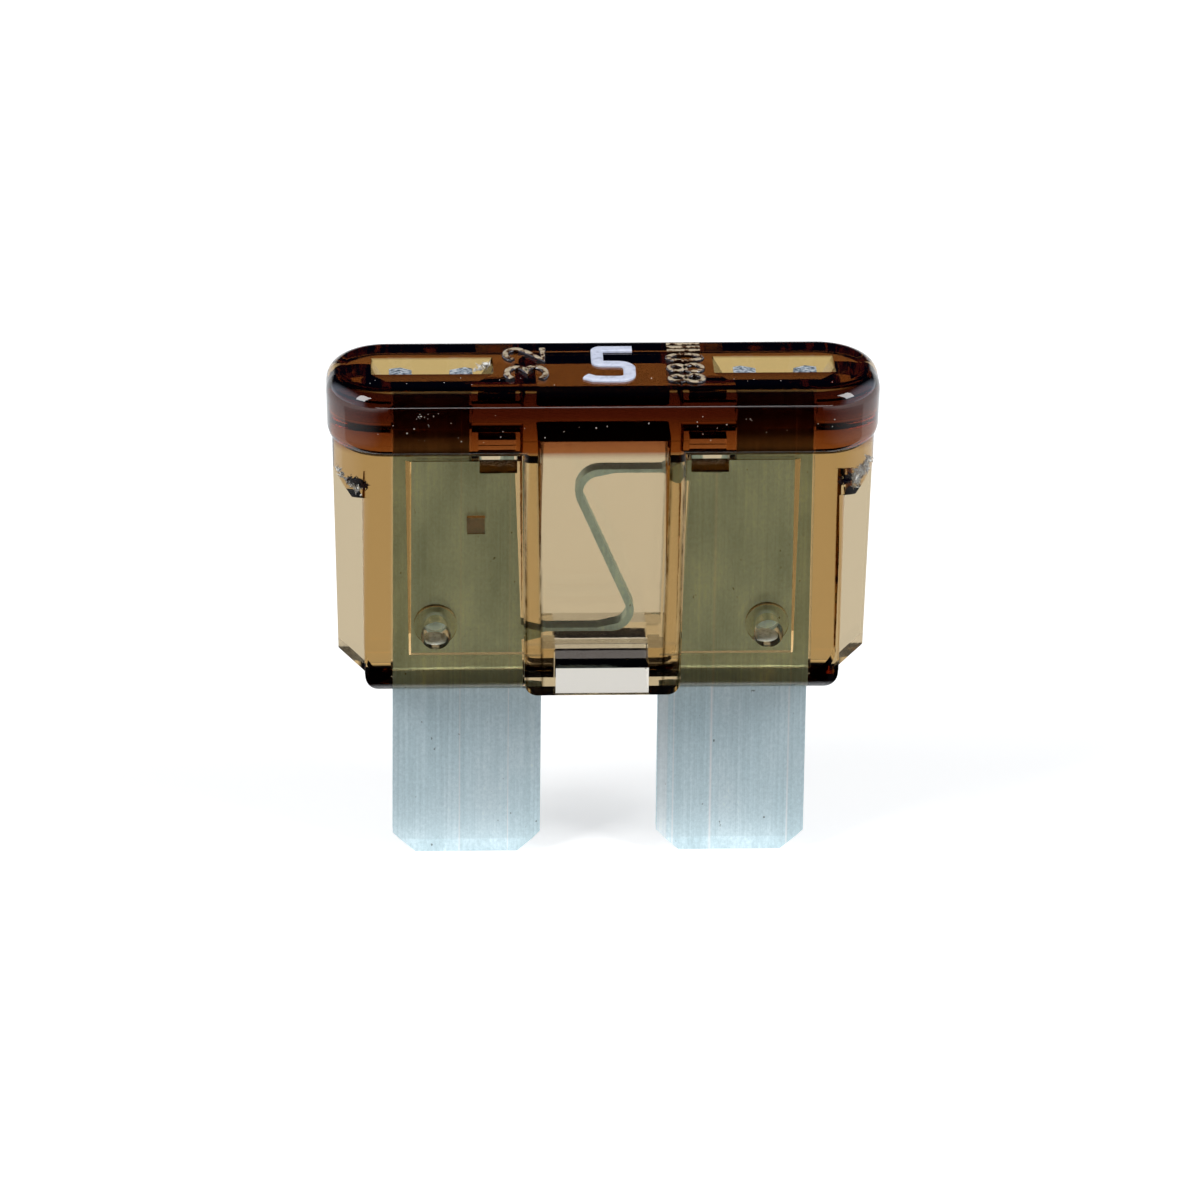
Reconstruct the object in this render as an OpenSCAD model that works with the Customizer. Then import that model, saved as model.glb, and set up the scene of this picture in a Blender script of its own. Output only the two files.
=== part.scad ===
// Automotive blade fuse of the standard size: a clear tinted housing moulded
// in one piece and one stamped metal strip held inside it.
// Z is up, the blades point down to z = 0, the front faces -Y. Millimetres.

/* [Overall] */
// height from the blade tips to the top of the head
fuse_height = 18.5; // [18.2:0.1:19]
// thickness of the metal strip at the blades
strip_thickness = 0.65; // [0.6:0.01:0.7]

/* [Head] */
// width of the head at its parting line
head_width = 19.1; // [18.8:0.1:19.4]
// depth of the head at its parting line
head_depth = 5.1; // [5:0.05:5.3]
// height of the head at the side thirds
head_height = 2.54; // [2.4:0.02:2.6]
// radius of the head's corners seen from above
head_corner_r = 2.1; // [1.8:0.1:2.3]
// radius of the head's top edge
head_edge_r = 0.68; // [0.6:0.02:0.7]
// radius of the head's lower edge
head_low_r = 0.6; // [0.4:0.05:0.7]
// drop of the parting line below the top
parting_drop = 0.78; // [0.7:0.02:0.9]
// inward slope of the head below the parting line, over the head's height
head_draft = 0.05; // [0.02:0.01:0.08]
// how much higher the head's lower edge runs over the middle box
head_notch = 0.73; // [0.65:0.01:0.8]
// radius of the head's lower corners beside the box
notch_corner_r = 0.2; // [0.1:0.05:0.3]

/* [Shoulder pockets] */
// distance of a shoulder pocket's inner side from the middle
relief_inner = 3; // [2.95:0.05:3.1]
// width of a shoulder pocket
relief_width = 1.3; // [1.1:0.05:1.4]
// height of a shoulder pocket's floor
relief_floor_z = 15.3; // [15.2:0.05:15.5]
// distance of a shoulder pocket's back wall from the middle plane
relief_back = 0.8; // [0.75:0.05:1]

/* [Test pockets] */
// distance of a pocket's centre from the middle
pocket_centre_x = 5.9; // [5.8:0.05:6]
// width of a pocket at the top
pocket_width = 4.2; // [4:0.05:4.3]
// depth of a pocket, front to back
pocket_depth = 1.55; // [1.4:0.05:1.7]
// how far down the pocket's end walls slope
pocket_drop = 0.95; // [0.8:0.05:1.1]
// inward run of each sloping end wall
pocket_slope = 0.55; // [0.45:0.05:0.6]

/* [Body] */
// bottom of the housing above the blade tips
body_bottom_z = 6.85; // [6.8:0.05:7]
// half width of the body under the head, at the fins
fin_half_top = 9.36; // [9.2:0.02:9.4]
// half width of the fins at their lower end
fin_half_low = 9.15; // [9:0.01:9.2]
// thickness of the fins
fin_thickness = 1.5; // [1.2:0.1:1.8]
// run of the slope at the fins' lower ends
fin_slope = 0.95; // [0.8:0.05:1]
// height at which the fins' bottom slope starts
fin_low_z = 8.2; // [8.1:0.05:8.4]
// half width of the thick body under the head
body_half_top = 8.34; // [8.3:0.01:8.4]
// half width of the thick body at its bottom
body_half_low = 8.24; // [8.2:0.01:8.28]
// distance of the front face from the middle plane, under the head
body_front_top = 1.98; // [1.9:0.02:2.04]
// distance of the front face from the middle plane, at the bottom
body_front_low = 1.92; // [1.86:0.02:1.94]
// radius of the body's lower front and back edges
body_low_r = 0.75; // [0.6:0.05:0.8]
// radius of the thick body's upright edges
body_edge_r = 0.3; // [0.2:0.05:0.4]
// radius of the thick body's lower corners
body_corner_r = 0.85; // [0.7:0.05:0.9]
// height where the recess beside a fin ends at the outside
recess_outer_z = 15.3; // [15.1:0.05:15.4]
// height where the recess beside a fin ends at the inside
recess_inner_z = 14.4; // [14.2:0.05:14.6]
// width of the level part of that recess's end
recess_level = 0.45; // [0.3:0.05:0.5]
// radius of the shoulders' upright edges above the recesses
shoulder_edge_r = 1.2; // [1:0.05:1.3]

/* [Middle box] */
// height of the box's bottom above the blade tips
box_bottom_z = 7.05; // [6.95:0.05:7.15]
// half width of the box under the head
box_half_top = 2.85; // [2.8:0.01:2.88]
// half width of the box at its bottom
box_half_low = 2.7; // [2.66:0.01:2.74]
// set-back of the box's front from the head's front
box_setback = 0.1; // [0.06:0.01:0.14]
// narrowing of the box from front to back over its height, on each side
box_draft = 0.06; // [0.02:0.01:0.1]
// radius of the box's upright edges
box_edge_r = 0.3; // [0.2:0.05:0.4]
// radius of the box's lower corners
box_corner_r = 0.45; // [0.3:0.05:0.5]
// thickness of the clear window walls
window_wall = 0.9; // [0.8:0.05:1]
// radius of the window space's upright edges
window_edge_r = 0.25; // [0.15:0.05:0.35]
// half width of the window space at its top
window_half_top = 2.3; // [2.24:0.01:2.34]
// half width of the window space at its bottom
window_half_low = 2.12; // [2.08:0.01:2.16]
// depth of the window space's ceiling below the top of the head
window_drop = 2.03; // [1.95:0.01:2.1]
// height of the window space's floor, the top of the cross web
web_top_z = 8.6; // [8.4:0.05:8.65]
// height of the cross web's underside
web_bottom_z = 8; // [7.9:0.05:8.1]
// half depth of the opening through the cross web
web_gap_half = 0.7; // [0.6:0.05:0.8]
// half width of the recess under the cross web
web_recess_half = 1.62; // [1.5:0.02:1.7]
// wall left in front of the recess under the cross web
web_wall = 0.32; // [0.28:0.02:0.4]

/* [Strip space] */
// gap between the strip and each face of its slot
slot_clearance = 0.05; // [0.03:0.01:0.06]
// gap at the strip's edges
edge_clearance = 0.08; // [0.05:0.01:0.1]
// half thickness of the wider space in front of and behind the blades
space_half = 0.56; // [0.5:0.02:0.6]
// distance of the wider space's outer edge from the middle, at the top
space_outer_top = 6.83; // [6.78:0.01:6.88]
// distance of the wider space's outer edge from the middle, at the bottom
space_outer_low = 6.7; // [6.65:0.01:6.75]
// lean of the wider space's outer wall, front to back
space_lean = 0.2; // [0.1:0.05:0.25]
// height of the ledge under the wider space
space_ledge_z = 8.05; // [7.95:0.05:8.15]
// side of the square gate mark in front of the left blade
gate_size = 0.62; // [0.5:0.02:0.7]
// distance of the gate mark from the middle
gate_x = 4.38; // [4.2:0.02:4.5]
// height of the gate mark
gate_z = 12.95; // [12.8:0.05:13.1]

/* [Stakes] */
// distance of the staking pits from the middle
stake_x = 5.78; // [5.7:0.02:5.86]
// height of the staking pits
stake_z = 9.15; // [9.05:0.05:9.25]
// diameter of a staking pit at the face
stake_d = 1.05; // [0.95:0.05:1.1]
// diameter of a staking pit at its end
stake_end_d = 0.85; // [0.7:0.05:0.9]
// plastic left at the end of a pit
stake_skin = 0.22; // [0.15:0.01:0.3]
// diameter of the plastic pressed towards the blade
stake_foot_d = 1.5; // [1.3:0.1:1.7]
// gap left between the pressed plastic and the blade
stake_clearance = 0.01; // [0.01:0.01:0.03]

/* [Blades] */
// distance of a blade's outer edge from the middle
blade_outer = 7.25; // [7.2:0.01:7.3]
// width of a blade
blade_width = 5.2; // [5:0.05:5.3]
// corner cut at the blade's tip
tip_chamfer = 0.8; // [0.7:0.05:0.9]
// height of the pressed bevel at the tip
tip_bevel_h = 0.55; // [0.4:0.05:0.7]
// depth of the pressed bevel on each face at the tip
tip_bevel = 0.14; // [0.1:0.01:0.18]
// width of the pressed bevel along a blade's inner edge
edge_bevel_w = 0.34; // [0.25:0.01:0.4]
// depth of the pressed bevel along a blade's inner edge
edge_bevel = 0.08; // [0.05:0.01:0.1]
// distance of the blade's inner edge from the middle, low in the housing
neck_inner_low = 2.7; // [2.66:0.01:2.74]
// distance of the blade's inner edge from the middle, high in the housing
neck_inner_top = 3.06; // [3:0.01:3.1]
// height of the blade's shoulder
shoulder_z = 15.3; // [15.1:0.05:15.4]
// distance of the upper tongue's inner edge from the middle
tongue_inner = 4.63; // [4.5:0.01:4.7]
// depth of the notch in the shoulder
shoulder_notch = 0.5; // [0.4:0.05:0.6]
// distance of that notch from the tongue and from the neck's inner edge
notch_inset = 0.35; // [0.3:0.05:0.4]
// run of the notch's sloping ends
notch_run = 0.15; // [0.1:0.05:0.2]

/* [Test prongs] */
// height of the prong tips below the top
prong_drop = 0.2; // [0.15:0.05:0.3]
// length of a prong
prong_length = 1.1; // [1:0.05:1.3]
// width of a prong
prong_width = 0.78; // [0.7:0.02:0.84]
// outward lean of each prong's tip
prong_lean = 0.13; // [0.08:0.01:0.16]
// unevenness of the sheared prong tips
prong_shear = 0.1; // [0.04:0.02:0.12]

/* [Link] */
// thickness of the link
link_thickness = 0.6; // [0.5:0.05:0.6]
// width of the link at its slope and bends
link_width = 0.25; // [0.2:0.01:0.28]
// width of the link's level runs
link_thin = 0.13; // [0.11:0.01:0.16]
// length over which a level run thins after its bend
link_taper = 0.5; // [0.4:0.05:0.6]
// length of each flared root where the link joins a blade
root_length = 0.45; // [0.4:0.05:0.55]
// height of each flared root
root_height = 0.7; // [0.6:0.05:0.75]
// height of the upper run's top edge
link_top_z = 14.85; // [14.8:0.01:14.9]
// height of the lower run's bottom edge
link_low_z = 8.72; // [8.68:0.02:8.8]
// distance of the upper bend's outer side from the middle
bend_left = 0.93; // [0.85:0.01:1]
// distance of the lower bend's outer side from the middle
bend_right = 1.14; // [1.05:0.01:1.2]
// outer radius of the upper bend
bend_top_r = 0.87; // [0.8:0.01:0.95]
// outer radius of the lower bend
bend_low_r = 0.78; // [0.7:0.01:0.9]

/* [Hidden] */
$fn = 48;
eps = 0.02;
head_bottom_z = fuse_height - head_height;
body_top_z = head_bottom_z + head_low_r;
head_half = head_width / 2;
head_front = head_depth / 2;
strip_half = strip_thickness / 2;
slot_half = strip_half + slot_clearance;
box_front_top = head_front - box_setback;
box_front_low = box_front_top - box_draft;
blade_inner = blade_outer - blade_width;
slot_outer = blade_outer + edge_clearance;
slot_top_z = shoulder_z + edge_clearance;
notch_z = head_bottom_z + head_notch;
window_top_z = fuse_height - window_drop;
pocket_floor_z = fuse_height - pocket_drop;
prong_base_z = fuse_height - prong_drop - prong_length;
// lean of a prong at the height of the pocket's floor
lean_room = prong_lean * (pocket_floor_z - prong_base_z) / prong_length;

housing();
fuse_strip();

// solid whose front view (x, z) is the 2D child, from y = -d/2 to d/2
module front_view(d) {
  rotate([90, 0, 0])
    linear_extrude(d, center = true)
      children();
}

// solid whose side view (y, z) is the 2D child, from x = -w/2 to w/2
module side_view(w) {
  rotate([90, 0, 90])
    linear_extrude(w, center = true)
      children();
}

module both_sides() {
  children();
  mirror([1, 0, 0])
    children();
}

module both_faces() {
  children();
  mirror([0, 1, 0])
    children();
}

// outline of the head's edge: r outwards, z up, from the axis to radius r
module head_edge(r) {
  difference() {
    polygon([
      [0, head_bottom_z],
      [r - head_draft, head_bottom_z],
      [r, fuse_height - parting_drop],
      [r, fuse_height],
      [0, fuse_height]
    ]);
    difference() {
      translate([r - head_edge_r, fuse_height - head_edge_r])
        square(head_edge_r + eps);
      translate([r - head_edge_r, fuse_height - head_edge_r])
        circle(head_edge_r);
    }
    difference() {
      translate([r - head_draft - head_low_r, head_bottom_z - eps])
        square([head_low_r + head_draft + eps, head_low_r + eps]);
      translate([r - head_draft - head_low_r, head_bottom_z + head_low_r])
        circle(head_low_r);
    }
  }
}

// the head: straight runs along both directions and four turned corners
module head_blank() {
  run_x = head_half - head_corner_r;
  run_y = head_front - head_corner_r;
  side_view(2 * run_x)
    union() {
      head_edge(head_front);
      mirror([1, 0])
        head_edge(head_front);
    }
  front_view(2 * run_y)
    union() {
      head_edge(head_half);
      mirror([1, 0])
        head_edge(head_half);
    }
  both_sides()
    both_faces()
      translate([run_x, run_y, 0])
        rotate_extrude(angle = 90)
          head_edge(head_corner_r);
}

// the head's lower edge is higher over the box, with rounded ends
module head_notches() {
  r = notch_corner_r;
  low = head_bottom_z - 1;
  both_faces()
    translate([0, box_setback - head_front - 0.5, 0])
      front_view(1) {
        polygon([
          [-box_half_top, low],
          [box_half_top, low],
          [box_half_top, notch_z],
          [-box_half_top, notch_z]
        ]);
        for (m = [0, 1])
          mirror([m, 0])
            difference() {
              translate([box_half_top - eps, low])
                square([r + eps, head_bottom_z + r - low]);
              translate([box_half_top + r, head_bottom_z + r])
                circle(r);
            }
      }
}

// the thick middle part of the body, drafted and with rounded lower corners
module body_core() {
  intersection() {
    front_view(head_depth)
      hull_outline(body_half_top, body_half_low, body_bottom_z, body_corner_r);
    side_view(head_width)
      hull_outline(body_front_top, body_front_low, body_bottom_z, body_low_r);
    translate([0, 0, body_bottom_z])
      linear_extrude(body_top_z - body_bottom_z)
        rounded_rect(body_half_top, body_front_top, body_edge_r);
  }
}

// outline that narrows from the head to z0, with rounded lower corners
module hull_outline(top_half, low_half, z0, r) {
  z1 = body_top_z;
  difference() {
    polygon([[-low_half, z0], [low_half, z0], [top_half, z1], [-top_half, z1]]);
    for (s = [-1, 1])
      mirror([s > 0 ? 0 : 1, 0])
        difference() {
          translate([low_half - r, z0 - 1])
            square([r + 1, r + 1]);
          translate([low_half - r, z0 + r])
            circle(r);
        }
  }
}

module rounded_rect(hx, hy, r) {
  square([2 * hx - 2 * r, 2 * hy], center = true);
  square([2 * hx, 2 * hy - 2 * r], center = true);
  for (sx = [-1, 1], sy = [-1, 1])
    translate([sx * (hx - r), sy * (hy - r)])
      circle(r);
}

// the thin fins at both ends of the body, sloping in at the bottom
module fins() {
  front_view(fin_thickness)
    polygon([
      [-fin_half_low, fin_low_z],
      [-fin_half_low + fin_slope, fin_low_z - fin_slope],
      [fin_half_low - fin_slope, fin_low_z - fin_slope],
      [fin_half_low, fin_low_z],
      [fin_half_top, body_top_z],
      [-fin_half_top, body_top_z]
    ]);
}

// full-thickness shoulders of the body above the recesses beside the fins
module fin_shoulders() {
  root = body_half_low - body_edge_r;
  level = body_half_low + recess_level;
  intersection() {
    front_view(head_depth)
      polygon([
        [-root, recess_inner_z],
        [-level, recess_inner_z],
        [-fin_half_top, recess_outer_z],
        [-fin_half_top, body_top_z],
        [fin_half_top, body_top_z],
        [fin_half_top, recess_outer_z],
        [level, recess_inner_z],
        [root, recess_inner_z]
      ]);
    front_view(head_depth)
      polygon([
        [-fin_half_low, fin_low_z],
        [fin_half_low, fin_low_z],
        [fin_half_top, body_top_z],
        [-fin_half_top, body_top_z]
      ]);
    side_view(head_width)
      hull_outline(body_front_top, body_front_low, body_bottom_z, body_low_r);
    translate([0, 0, body_bottom_z])
      linear_extrude(body_top_z - body_bottom_z)
        rounded_rect(fin_half_top, body_front_top, shoulder_edge_r);
  }
}

// the box in the middle of the body, as deep as the head
module box() {
  intersection() {
    front_view(head_depth)
      hull_outline(box_half_top, box_half_low, box_bottom_z, box_corner_r);
    side_view(head_width)
      polygon([
        [-box_front_low, box_bottom_z],
        [box_front_low, box_bottom_z],
        [box_front_top, body_top_z],
        [-box_front_top, body_top_z]
      ]);
    translate([0, 0, box_bottom_z])
      linear_extrude(body_top_z - box_bottom_z)
        rounded_rect(box_half_top, box_front_top, box_edge_r);
  }
}

// the window space, closed above and open to the strip slot
module window_space() {
  inner = box_front_low - window_wall;
  intersection() {
    front_view(head_depth)
      polygon([
        [-window_half_low, web_top_z],
        [window_half_low, web_top_z],
        [window_half_top, window_top_z],
        [-window_half_top, window_top_z]
      ]);
    side_view(head_width)
      polygon([
        [-inner, web_top_z],
        [inner, web_top_z],
        [inner + box_draft, window_top_z],
        [-inner - box_draft, window_top_z]
      ]);
    translate([0, 0, web_top_z])
      linear_extrude(window_top_z - web_top_z)
        rounded_rect(window_half_top, inner + box_draft, window_edge_r);
  }
}

// recess under the cross web, behind a thin wall on each face
module web_recess() {
  z0 = body_bottom_z - 1;
  translate([-web_recess_half, -box_front_low + web_wall, z0])
    cube([2 * web_recess_half, 2 * (box_front_low - web_wall), web_bottom_z - z0]);
}

// opening through the cross web, which leaves a shelf at the front and at the back
module web_gap() {
  translate([-web_recess_half, -web_gap_half, web_bottom_z - eps])
    cube([2 * web_recess_half, 2 * web_gap_half, web_top_z - web_bottom_z + 2 * eps]);
}

// slot for the strip: open below, with a narrow part up to each test pocket
module strip_slot() {
  z0 = body_bottom_z - 1;
  inner = tongue_inner - edge_clearance;
  translate([-slot_outer, -slot_half, z0])
    cube([2 * slot_outer, 2 * slot_half, slot_top_z - z0]);
  both_sides() {
    translate([inner, -slot_half, slot_top_z - eps])
      cube([slot_outer - inner, 2 * slot_half, pocket_floor_z - slot_top_z + 2 * eps]);
    translate([inner - lean_room, -slot_half, prong_base_z])
      cube([slot_outer - inner + 2 * lean_room, 2 * slot_half, pocket_floor_z - prong_base_z + eps]);
  }
}

// wider space around the blades, above a ledge, with leaning outer walls
module blade_space() {
  lean_outer = space_outer_top - space_lean;
  start = window_half_low - edge_clearance;
  both_sides()
    intersection() {
      front_view(2 * space_half)
        polygon([
          [start, space_ledge_z],
          [space_outer_low, space_ledge_z],
          [space_outer_top, slot_top_z],
          [start, slot_top_z]
        ]);
      linear_extrude(fuse_height)
        polygon([
          [0, -space_half],
          [lean_outer, -space_half],
          [space_outer_top, -slot_half],
          [space_outer_top, slot_half],
          [lean_outer, space_half],
          [0, space_half]
        ]);
    }
}

// pocket under the head on each side of the box, in both faces
module shoulder_pockets() {
  both_sides()
    both_faces()
      translate([relief_inner, -head_front, relief_floor_z])
        cube([relief_width, head_front - relief_back, head_bottom_z - relief_floor_z]);
}

// test pocket in the top of the head, with sloping end walls
module test_pockets() {
  half = pocket_width / 2;
  both_sides()
    translate([pocket_centre_x, 0, 0])
      front_view(pocket_depth)
        polygon([
          [-half + pocket_slope, pocket_floor_z],
          [half - pocket_slope, pocket_floor_z],
          [half, fuse_height],
          [half, fuse_height + 1],
          [-half, fuse_height + 1],
          [-half, fuse_height]
        ]);
}

// square of plastic left standing in front of the left blade by the mould's gate
module gate_pad() {
  translate([-gate_x - gate_size / 2, -space_half - eps, gate_z - gate_size / 2])
    cube([gate_size, space_half - slot_half + eps, gate_size]);
}

// plastic pressed towards the blade at each stake
module stake_feet() {
  depth = space_half - strip_half - stake_clearance;
  both_sides()
    both_faces()
      translate([stake_x, -strip_half - stake_clearance, stake_z])
        rotate([90, 0, 0])
          cylinder(h = depth + eps, d = stake_foot_d);
}

module stake_pits() {
  end = strip_half + stake_clearance + stake_skin;
  both_sides()
    both_faces()
      translate([stake_x, -end, stake_z])
        rotate([90, 0, 0])
          cylinder(h = body_front_top - end, d1 = stake_end_d, d2 = stake_d);
}

module housing() {
  color([0.62, 0.45, 0.25, 0.55]) {
    difference() {
      union() {
        difference() {
          head_blank();
          head_notches();
        }
        body_core();
        fins();
        fin_shoulders();
        box();
      }
      window_space();
      web_recess();
      web_gap();
      shoulder_pockets();
      difference() {
        union() {
          strip_slot();
          blade_space();
        }
        stake_feet();
        gate_pad();
      }
      test_pockets();
      stake_pits();
    }
  }
}

// front view of one blade: tip, neck inside the housing, shoulder and tongue
module blade_outline() {
  top = prong_base_z;
  low = body_bottom_z - edge_clearance;
  polygon([
    [blade_inner + tip_chamfer, 0],
    [blade_outer - tip_chamfer, 0],
    [blade_outer, tip_chamfer],
    [blade_outer, top],
    [tongue_inner, top],
    [tongue_inner, shoulder_z],
    [tongue_inner - notch_inset, shoulder_z],
    [tongue_inner - notch_inset - notch_run, shoulder_z - shoulder_notch],
    [neck_inner_top + notch_inset + notch_run, shoulder_z - shoulder_notch],
    [neck_inner_top + notch_inset, shoulder_z],
    [neck_inner_top, shoulder_z],
    [neck_inner_low, low],
    [blade_inner, low],
    [blade_inner, tip_chamfer]
  ]);
}

// two prongs at the top of a blade, leaning apart, with sheared tips
module prong_outlines() {
  z0 = prong_base_z - eps;
  z1 = fuse_height - prong_drop;
  out = blade_outer + prong_lean;
  in = tongue_inner - prong_lean;
  polygon([
    [blade_outer - prong_width, z0],
    [blade_outer, z0],
    [out, z1 - prong_shear / 2],
    [out - prong_width / 2, z1],
    [out - prong_width, z1 - prong_shear]
  ]);
  polygon([
    [tongue_inner, z0],
    [tongue_inner + prong_width, z0],
    [in + prong_width, z1 - prong_shear],
    [in + prong_width / 3, z1],
    [in, z1 - prong_shear / 2]
  ]);
}

module blade() {
  intersection() {
    front_view(strip_thickness)
      union() {
        blade_outline();
        prong_outlines();
      }
    side_view(4 * blade_outer)
      polygon([
        [-strip_half + tip_bevel, 0],
        [strip_half - tip_bevel, 0],
        [strip_half, tip_bevel_h],
        [strip_half, fuse_height],
        [-strip_half, fuse_height],
        [-strip_half, tip_bevel_h]
      ]);
    linear_extrude(fuse_height)
      polygon([
        [blade_inner, -strip_half + edge_bevel],
        [blade_inner + edge_bevel_w, -strip_half],
        [blade_outer + 1, -strip_half],
        [blade_outer + 1, strip_half],
        [blade_inner + edge_bevel_w, strip_half],
        [blade_inner, strip_half - edge_bevel]
      ]);
  }
}

// ring sector from angle a0 to a1 about a bend's centre
module bend(outer, a0, a1) {
  reach = 3 * outer;
  mid = (a0 + a1) / 2;
  intersection() {
    difference() {
      circle(outer);
      circle(outer - link_width);
    }
    polygon([
      [0, 0],
      [reach * cos(a0), reach * sin(a0)],
      [reach * cos(mid), reach * sin(mid)],
      [reach * cos(a1), reach * sin(a1)]
    ]);
  }
}

// front view of the link: upper run, bend, slope, bend, lower run
module link_outline() {
  c1 = [-bend_left + bend_top_r, link_top_z - bend_top_r];
  c2 = [bend_right - bend_low_r, link_low_z + bend_low_r];
  span = c2 - c1;
  // the slope touches both bends on opposite sides, like a crossed belt
  gap = norm(span);
  mid_sum = bend_top_r + bend_low_r - link_width;
  lead = atan2(span[1], span[0]) + asin(mid_sum / gap);
  side = lead - 90;
  n = [cos(side), sin(side)];
  lap = eps * [cos(lead), sin(lead)];
  root_lap = link_thin;
  root_top = window_half_top - root_length / 2;
  root_low = window_half_low - root_length / 2;
  p1 = c1 + bend_top_r * n - lap;
  p2 = c1 + (bend_top_r - link_width) * n - lap;
  p3 = c2 - bend_low_r * n + lap;
  p4 = c2 - (bend_low_r - link_width) * n + lap;
  translate(c1)
    bend(bend_top_r, 90, 360 + side);
  translate(c2)
    bend(bend_low_r, -90, 180 + side);
  polygon([p1, p2, p3, p4]);
  polygon([
    [c1[0] - eps, link_top_z],
    [c1[0] - eps, link_top_z - link_width],
    [c1[0] + link_taper, link_top_z - link_thin],
    [root_top, link_top_z - link_thin],
    [root_top + root_length, link_top_z - root_height / 2],
    [neck_inner_top + root_lap, link_top_z - root_height / 2],
    [neck_inner_top + root_lap, shoulder_z],
    [root_top + root_length, link_top_z + root_height / 2],
    [root_top, link_top_z]
  ]);
  polygon([
    [c2[0] + eps, link_low_z],
    [c2[0] + eps, link_low_z + link_width],
    [c2[0] - link_taper, link_low_z + link_thin],
    [-root_low, link_low_z + link_thin],
    [-neck_inner_low - root_lap, link_low_z + link_thin + root_height / 3],
    [-neck_inner_low - root_lap, link_low_z - root_height / 3],
    [-root_low, link_low_z]
  ]);
}

module fuse_strip() {
  color([0.72, 0.76, 0.78]) {
    both_sides()
      blade();
    front_view(link_thickness)
      link_outline();
  }
}
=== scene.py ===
"""Looks of the blade fuse: clear brown plastic over a satin zinc strip, on a plain white ground.

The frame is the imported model's: +Z up, the blades' tips at z = 0, the front towards -Y. Lengths that are
multiplied by MM, and the points of the pieces, are in millimetres, and all others are in metres.
"""

import math
import random

import bpy
from mathutils import Matrix, Vector


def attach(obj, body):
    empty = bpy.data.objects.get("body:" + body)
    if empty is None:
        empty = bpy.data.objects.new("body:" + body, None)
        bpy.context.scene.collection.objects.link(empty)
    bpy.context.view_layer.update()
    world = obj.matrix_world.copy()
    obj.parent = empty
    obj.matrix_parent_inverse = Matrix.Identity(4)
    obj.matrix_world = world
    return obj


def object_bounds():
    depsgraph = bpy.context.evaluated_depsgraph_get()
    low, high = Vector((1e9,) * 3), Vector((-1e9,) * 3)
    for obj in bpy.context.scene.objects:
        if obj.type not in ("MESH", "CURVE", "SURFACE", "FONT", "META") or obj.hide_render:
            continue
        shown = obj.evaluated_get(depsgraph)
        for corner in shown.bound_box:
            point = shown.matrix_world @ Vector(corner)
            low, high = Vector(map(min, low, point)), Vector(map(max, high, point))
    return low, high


MM = 0.001

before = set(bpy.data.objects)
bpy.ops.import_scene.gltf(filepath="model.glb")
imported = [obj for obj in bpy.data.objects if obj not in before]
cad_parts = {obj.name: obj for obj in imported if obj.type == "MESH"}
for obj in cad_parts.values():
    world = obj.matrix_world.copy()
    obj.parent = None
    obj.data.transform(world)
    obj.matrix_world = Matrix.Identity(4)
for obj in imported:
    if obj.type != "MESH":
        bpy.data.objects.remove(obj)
CAD_BOX = [list(corner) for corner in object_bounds()]
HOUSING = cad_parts["housing"]
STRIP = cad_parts["fuse_strip"]
TOP_Z = CAD_BOX[1][2]
TOP_MM = TOP_Z / MM
FRONT_MM = CAD_BOX[0][1] / MM

# the plastic: its refraction, and the colour that its depth gives
PLASTIC_INDEX = 1.58
DEPTH_COLOUR = (0.775, 0.59, 0.20)
DEPTH_DENSITY = 660.0

# the plastic's surface: clear low down, painted shade over the head's front, ends and top; heights in mm
CLEAR = (1.0, 1.0, 1.0)
HEAD_SIDES_SHADE = [
    (16.0, CLEAR),
    (16.25, (0.26, 0.05, 0.012)),
    (16.95, (0.09, 0.010, 0.003)),
    (17.6, (0.020, 0.001, 0.001)),
    (18.3, (0.008, 0.0005, 0.0005)),
]
# painted shade over the head's top, to this depth below it in mm
HEAD_TOP = (0.14, 0.03, 0.004)
HEAD_TOP_DEPTH = 0.12
HEAD_BACK = (0.93, 0.76, 0.33)
HEAD_BACK_LOW = 16.9
# the head's outline from above: two round ends about these points of the long axis
HEAD_END = 7.25
HEAD_ROUND = 2.3

# lines of painted shade beside the window: distance from the middle at z = 0, its growth with z, half width
# in mm
BOX_EDGE_SHADES = [(1.924, 0.0228, 0.09), (2.508, 0.0159, 0.10)]
EDGE_SHADE_TOP = 15.9
EDGE_SHADE_FRONT = -1.9
EDGE_SHADE_TINT = (0.05, 0.03, 0.008)

# painted shade, dark navy, on the cross web opening's front wall: half width, heights, distance from the
# middle in mm
WEB_HALF = 1.66
WEB_LOW = 7.97
WEB_HIGH = 8.57
WEB_FRONT = 0.7
WEB_SHADE = (0.05, 0.06, 0.12)

# painted light and shade in the zinc's colour, by place: bare blades, under the body, under the head, the
# prongs' tips
BARE_METAL_LIGHT = (1.75, 1.75, 1.75)
COVERED_METAL_LIGHT = (1.55, 1.8, 1.9)
HEAD_METAL_SHADE = (0.5, 0.45, 0.4)
TIP_METAL_LIGHT = (1.15, 1.2, 1.35)
# the heights at which it changes, as shares of the whole height
BARE_TOP = 0.366
COVERED_LOW = 0.374
PRONG_TIPS = 0.955
# bright lines that drawing left along the strip: distance from the middle, half width in mm
DRAWN_LINES = [(3.94, 0.07), (6.66, 0.05), (2.62, 0.04), (-4.9, 0.04), (-3.2, 0.03)]
# painted sheen in a pale band at the right blade's inner edge, where its bevel catches light
BEVEL_SHEEN_PLACE = 2.24
BEVEL_SHEEN_HALF = 0.19

# marks on the head's top, in mm: the rating, and small raised ones on both sides of it
RATING_HEIGHT = 0.10
RATING_STROKE = 0.42
MARK_HEIGHT = 0.12
LEFT_MARKS_X = -2.68
LEFT_MARK_SIZE = (1.15, 1.35)
LEFT_STROKE = 0.24
RIGHT_MARKS_X = 2.82
RIGHT_MARK_LENGTH = 1.15
RIGHT_STROKE = 0.20
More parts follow.
